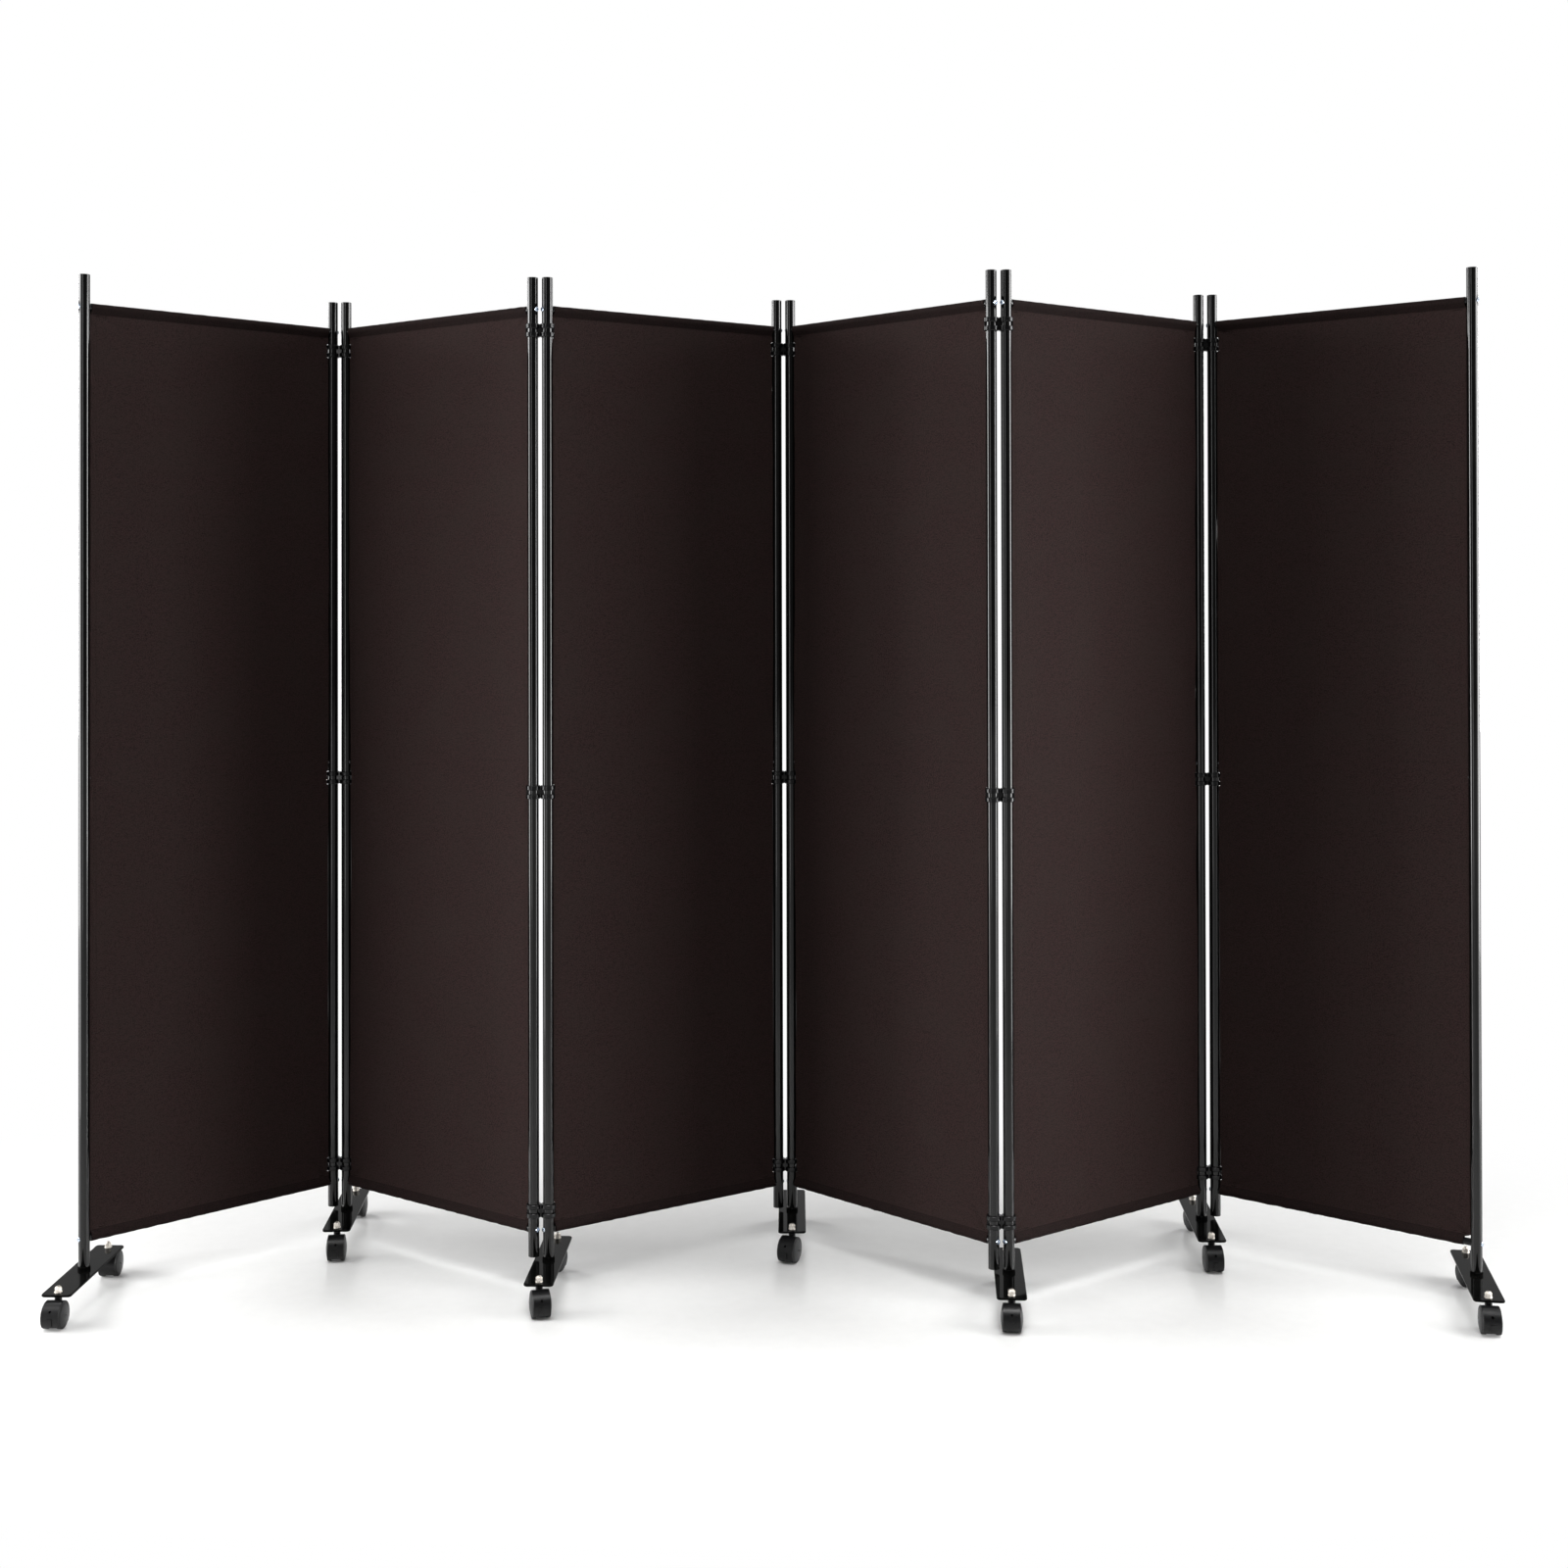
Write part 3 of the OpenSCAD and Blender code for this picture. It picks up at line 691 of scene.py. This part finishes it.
def grid_mesh(name, front, back, uv):
    """A closed mesh between two grids of points, each rows by columns by 3."""
    rows, columns = front.shape[:2]
    points = np.concatenate([front.reshape(-1, 3), back.reshape(-1, 3)])
    number = np.arange(rows * columns).reshape(rows, columns)
    corners = [number[:-1, :-1], number[:-1, 1:], number[1:, 1:], number[1:, :-1]]
    quads = np.stack(corners, -1).reshape(-1, 4)
    sides = [number[0, :], number[1:, -1], number[-1, -2::-1], number[-2:0:-1, 0]]
    rim = np.concatenate(sides)
    after = np.roll(rim, -1)
    behind = rows * columns
    band = np.stack([rim, rim + behind, after + behind, after], -1)
    faces = np.concatenate([quads, quads[:, ::-1] + behind, band])
    mesh = bpy.data.meshes.new(name)
    mesh.from_pydata(points.tolist(), [], faces.tolist())
    layer = mesh.uv_layers.new(name="weave")
    vertex_of = np.zeros(len(mesh.loops), np.int64)
    mesh.loops.foreach_get("vertex_index", vertex_of)
    both = np.concatenate([uv.reshape(-1, 2), uv.reshape(-1, 2)])
    layer.data.foreach_set("uv", both[vertex_of].astype(np.float32).ravel())
    mesh.polygons.foreach_set("use_smooth", np.ones(len(mesh.polygons), bool))
    return mesh


def add_piece(name, mesh, material, body):
    """A new piece that rides on a CAD body and takes its finish from a slot."""
    piece = bpy.data.objects.new(name, mesh)
    mesh.materials.append(material)
    bpy.context.scene.collection.objects.link(piece)
    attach(piece, body)
    return piece


def fabric_lines(panel):
    """Mid line of the whole cloth from raw end to raw end, its developed length, and
    the rows of a hem and of the sheet."""
    hem = hem_path()
    z = rows_along(panel)
    low = np.column_stack([hem[:, 0], panel.rail_low + hem[:, 1]])
    top = np.column_stack([hem[::-1, 0], panel.rail_top - hem[::-1, 1]])
    sheet = np.column_stack([np.zeros(len(z)), z])
    line = np.concatenate([low, sheet, top])
    steps = np.linalg.norm(np.diff(line, axis=0), axis=1)
    return line, np.concatenate([[0], np.cumsum(steps)]), len(hem), len(z)


def fabric_mesh(panel, drape):
    """The cloth of one panel, a sheet with a pocket round each rail in one piece, and its
    developed length. Polygons past the seams take the second material, the darkened cloth
    that paints the hems' shade."""
    line, developed, hem_rows, sheet_rows = fabric_lines(panel)
    x0 = columns_across(panel)
    x, y = np.meshgrid(x0, line[:, 0])
    z = np.meshgrid(x0, line[:, 1])[1]
    ahead = np.gradient(line, axis=0)
    ahead /= np.linalg.norm(ahead, axis=1)[:, None]
    normal_y, normal_z = -ahead[:, 1][:, None], ahead[:, 0][:, None]
    low, high = panel.rail_low + SEAM_DROP, panel.rail_top - SEAM_DROP
    held = np.clip(z, low, high)
    on_sheet = np.zeros(len(line))
    on_sheet[hem_rows:hem_rows + sheet_rows] = 1
    beyond = np.abs(z - held)
    off = drape.off(x, held) * on_sheet[:, None]
    uneven = np.where(z < held, LOW_BUMP_H, TOP_BUMP_H)
    pocket = uneven * drape.bumps.at(x, y + z) * smooth(beyond / BUMP_FROM)
    moved_x = x + drape.shift(x, held, beyond)
    lift = -off + pocket
    front_off = lift + CLOTH_T / 2
    turned_in = thickness_behind(panel, x) * np.maximum(on_sheet, POCKET_FOLD)[:, None]
    back_off = lift - CLOTH_T / 2 - turned_in
    grids = []
    for amount in (front_off, back_off):
        moved_y = y + normal_y * amount
        moved_z = z + normal_z * amount
        points = panel.place(moved_x.ravel(), moved_y.ravel(), moved_z.ravel())
        grids.append(points.reshape(*x.shape, 3))
    uv = np.stack([x, np.meshgrid(x0, developed)[1]], -1)
    mesh = grid_mesh(f"panel_{panel.k}_cloth", *grids, uv)
    across = len(x0) - 1
    # Polygons past the seams, on the pockets, get the darker cloth: painted shade for the
    # hem band.
    hem_shade_mask = np.repeat((on_sheet[:-1] + on_sheet[1:] < 2).astype(np.int32), across)
    rim = np.zeros(len(mesh.polygons) - 2 * len(hem_shade_mask), np.int32)
    mesh.polygons.foreach_set("material_index", np.concatenate([hem_shade_mask, hem_shade_mask, rim]))
    return mesh, float(developed[-1])


def stitch_mesh(name, centres, directions, outward):
    """Many short stitches, each a thin spindle that lies along its direction: two
    rings of four points, and a point at each end that dips into the cloth."""
    stations = (-0.42, 0.42)
    ring = [(1, 0), (0, 1), (-1, 0), (0, -1)]
    side = np.cross(directions, outward)
    points = []
    for station in stations:
        for a, b in ring:
            points.append(centres + directions * station * STITCH_LENGTH
                          + side * a * THREAD_R + outward * b * THREAD_R * THREAD_FLATNESS)
    for end in (-0.5, 0.5):
        points.append(centres + directions * end * STITCH_LENGTH - outward * THREAD_R)
    points = np.stack(points, 1)
    quads = [(i, (i + 1) % 4, 4 + (i + 1) % 4, 4 + i) for i in range(4)]
    caps = [((i + 1) % 4, i, 8) for i in range(4)]
    caps += [(4 + i, 4 + (i + 1) % 4, 9) for i in range(4)]
    faces = []
    for number in range(len(centres)):
        start = number * points.shape[1]
        faces.extend([tuple(start + v for v in face) for face in quads + caps])
    mesh = bpy.data.meshes.new(name)
    mesh.from_pydata(points.reshape(-1, 3).tolist(), [], faces)
    mesh.polygons.foreach_set("use_smooth", np.ones(len(mesh.polygons), bool))
    mesh.uv_layers.new(name="weave")
    return mesh


def panel_stitches(panel, drape):
    """Seams under both rails and down both sides, seen on the front and the back."""
    low = panel.rail_low + SEAM_DROP + SEAM_STITCH_GAP
    high = panel.rail_top - SEAM_DROP - SEAM_STITCH_GAP
    seam_x = np.arange(SEAM_STITCH_X, panel.width - SEAM_STITCH_X, STITCH_PITCH)
    side_z = np.arange(low + SIDE_STITCH_GAP, high - SIDE_STITCH_GAP, STITCH_PITCH)
    lines = [(seam_x, np.full(len(seam_x), level), (1, 0)) for level in (low, high)]
    for x in (EDGE_X + SIDE_STITCH_X, panel.width - EDGE_X - SIDE_STITCH_X):
        lines.append((np.full(len(side_z), x), side_z, (0, 1)))
    centres, directions, outward = [], [], []
    for x, z, (along_x, along_z) in lines:
        y = drape.off(x, z)
        moved = x + drape.shift(x, z)
        front = y - CLOTH_T / 2
        back = y + CLOTH_T / 2 + np.maximum(thickness_behind(panel, x), CLOTH_T * along_x)
        for face, away in ((front, -1), (back, 1)):
            centres.append(panel.place(moved, face, z))
            directions.append(np.tile([*(panel.along * along_x), along_z], (len(x), 1)))
            outward.append(np.tile([*(panel.across * away), 0], (len(x), 1)))
    joined = [np.concatenate(part) for part in (centres, directions, outward)]
    return stitch_mesh(f"panel_{panel.k}_stitches", *joined)


def make_fabric(panel):
    """The cloth and stitches of one panel, in place of its CAD fabric."""
    drape = Drape(panel)
    body = f"panel_{panel.k}"
    mesh, cut_length = fabric_mesh(panel, drape)
    cloth = add_piece(mesh.name, mesh, FABRIC, body)
    mesh.materials.append(HEM_SHADED_FABRIC)
    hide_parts(f"panel_{panel.k}_fabric")
    thread = panel_stitches(panel, drape)
    stitches = add_piece(thread.name, thread, FABRIC, body)


# Studio

WHITE = (1, 1, 1, 1)
FLOOR_HALF = 14.0
FLOOR_IN_GLOSS = 0.45
AMBIENT = 0.12
BEAM_SPREAD = 0.75


def make_floor():
    """Pale floor that keeps the shadows near the screen and runs out into white."""
    mesh = bpy.data.meshes.new("floor")
    signs = ((-1, -1), (1, -1), (1, 1), (-1, 1))
    corners = [(x * FLOOR_HALF, y * FLOOR_HALF, 0) for x, y in signs]
    mesh.from_pydata(corners, [], [(0, 1, 2, 3)])
    floor = bpy.data.objects.new("floor", mesh)
    bpy.context.scene.collection.objects.link(floor)
    material, n = new_material("pale_floor")
    place = n.add("ShaderNodeTexCoord").outputs["Object"]
    out = n.stretch(place, (0.35, 1.0, 1.0))
    distance = n.add("ShaderNodeVectorMath", {0: out}, operation="LENGTH").outputs["Value"]
    span = {"Value": distance, "From Min": 0.3, "From Max": 1.05}
    eased = n.add("ShaderNodeMapRange", span, interpolation_type="SMOOTHSTEP")
    fade = eased.outputs["Result"]
    grain = n.noise(place, 40.0, 2.0, 0.5)
    pale = n.mix(n.ramp(grain, 0.3, 0.7), srgb(240, 240, 239), srgb(242, 242, 241))
    path = n.add("ShaderNodeLightPath")
    colour = n.mix(path.outputs["Is Diffuse Ray"], pale, srgb(120, 120, 120))
    lit = n.add("ShaderNodeBsdfPrincipled", {
        "Base Color": colour,
        "Roughness": n.ramp(grain, 0.3, 0.7, 0.2, 0.22),
        "Specular IOR Level": 0.3,
    }).outputs[0]
    white = n.add("ShaderNodeEmission", {"Color": WHITE, "Strength": 1.0}).outputs[0]
    in_gloss = n.math("MULTIPLY", path.outputs["Is Glossy Ray"], FLOOR_IN_GLOSS)
    seen = n.math("MAXIMUM", path.outputs["Is Camera Ray"], in_gloss)
    seen = n.math("MAXIMUM", seen, path.outputs["Is Transmission Ray"])
    factor = n.math("MULTIPLY", seen, fade)
    n.finish(n.add("ShaderNodeMixShader", {0: factor, 1: lit, 2: white}).outputs[0])
    mesh.materials.append(material)


def make_world():
    """White to the eye, white behind and dark in front to gloss, and a dim even light
    on the object."""
    world = bpy.data.worlds.new("studio")
    bpy.context.scene.world = world
    world.use_nodes = True
    n = Nodes(world.node_tree)
    path = n.add("ShaderNodeLightPath")
    in_sight = path.outputs["Is Camera Ray"]
    seen = n.math("MAXIMUM", in_sight, path.outputs["Is Transmission Ray"])
    direction = n.add("ShaderNodeTexCoord").outputs["Generated"]
    depth = n.add("ShaderNodeSeparateXYZ", {"Vector": direction}).outputs["Y"]
    behind = n.ramp(depth, -0.25, 0.05, 0.10, 1.0)
    gloss = n.math("MULTIPLY", path.outputs["Is Glossy Ray"], behind)
    strength = n.math("MAXIMUM", n.math("MAXIMUM", seen, gloss), AMBIENT)
    background = n.add("ShaderNodeBackground", {"Color": WHITE, "Strength": strength})
    n.add("ShaderNodeOutputWorld", {"Surface": background.outputs[0]})


def add_lamp(name, at, target, size, power):
    """A rectangular area lamp of so many watts, aimed at a point."""
    data = bpy.data.lights.new(name, "AREA")
    data.shape = "RECTANGLE"
    data.size, data.size_y = size
    data.energy = power
    lamp = bpy.data.objects.new(name, data)
    bpy.context.scene.collection.objects.link(lamp)
    lamp.location = at
    lamp.rotation_euler = (Vector(target) - Vector(at)).to_track_quat("-Z", "Y").to_euler()
    lamp.visible_camera = False
    return lamp


def make_lamps():
    """Soft lamps at both sides, above and behind, a beam on the floor and cards that
    only gloss shows."""
    add_lamp("left_side", (-5.1, -0.1, 1.2), (0, 0, 0.9), (1.6, 2.6), 216)
    add_lamp("right_side", (5.1, -0.4, 1.2), (0, -0.1, 0.9), (2.6, 2.6), 62)
    add_lamp("left_close", (-2.2, -0.7, 1.1), (-0.5, 0.1, 0.95), (0.7, 2.2), 25)
    add_lamp("right_close", (2.2, -0.7, 1.1), (0.5, 0.1, 0.95), (0.7, 2.2), 29)
    add_lamp("top_front", (0, -2.2, 4.2), (0, -0.2, 0.4), (3.0, 1.2), 38)
    add_lamp("left_rim", (-2.4, 1.7, 1.75), (0, 0, 1.3), (0.35, 1.9), 40)
    add_lamp("right_rim", (2.4, 1.7, 1.75), (0, 0, 1.3), (0.35, 1.9), 40)
    beam = add_lamp("floor_beam", (0, -0.95, 3.2), (0, -0.951, 0), (3.0, 0.5), 13)
    beam.data.spread = BEAM_SPREAD
    cards = [
        add_lamp("right_card", (4.5, -0.55, 1.3), (0, 0, 1.0), (1.2, 2.8), 175),
        add_lamp("left_card", (-4.4, -1.0, 1.3), (0, 0, 1.0), (0.8, 2.8), 35),
        add_lamp("front_card", (-1.9, -3.9, 1.3), (0, 0, 1.0), (0.5, 2.8), 26),
    ]
    for card in cards:
        card.visible_diffuse = False


def build():
    """Dresses the CAD model, hangs the fabric and sets up the studio."""
    panels = [Panel(k) for k in range(1, PANELS + 1)]
    for panel in panels:
        dress_poles(panel.k)
        dress_rails(panel)
        make_fabric(panel)
    for j in range(1, PANELS):
        dress(f"hinge_clips_{j}", [CLIP_PLASTIC], None)
    for i in range(1, FEET + 1):
        dress_foot(i)
        for end in ("front", "rear"):
            dress(f"caster_{i}_{end}", [HOUSING], None)
            dress_wheels(f"wheels_{i}_{end}")
    make_floor()
    make_world()
    make_lamps()
    make_camera()
    bpy.context.scene.view_settings.view_transform = "Standard"


build()
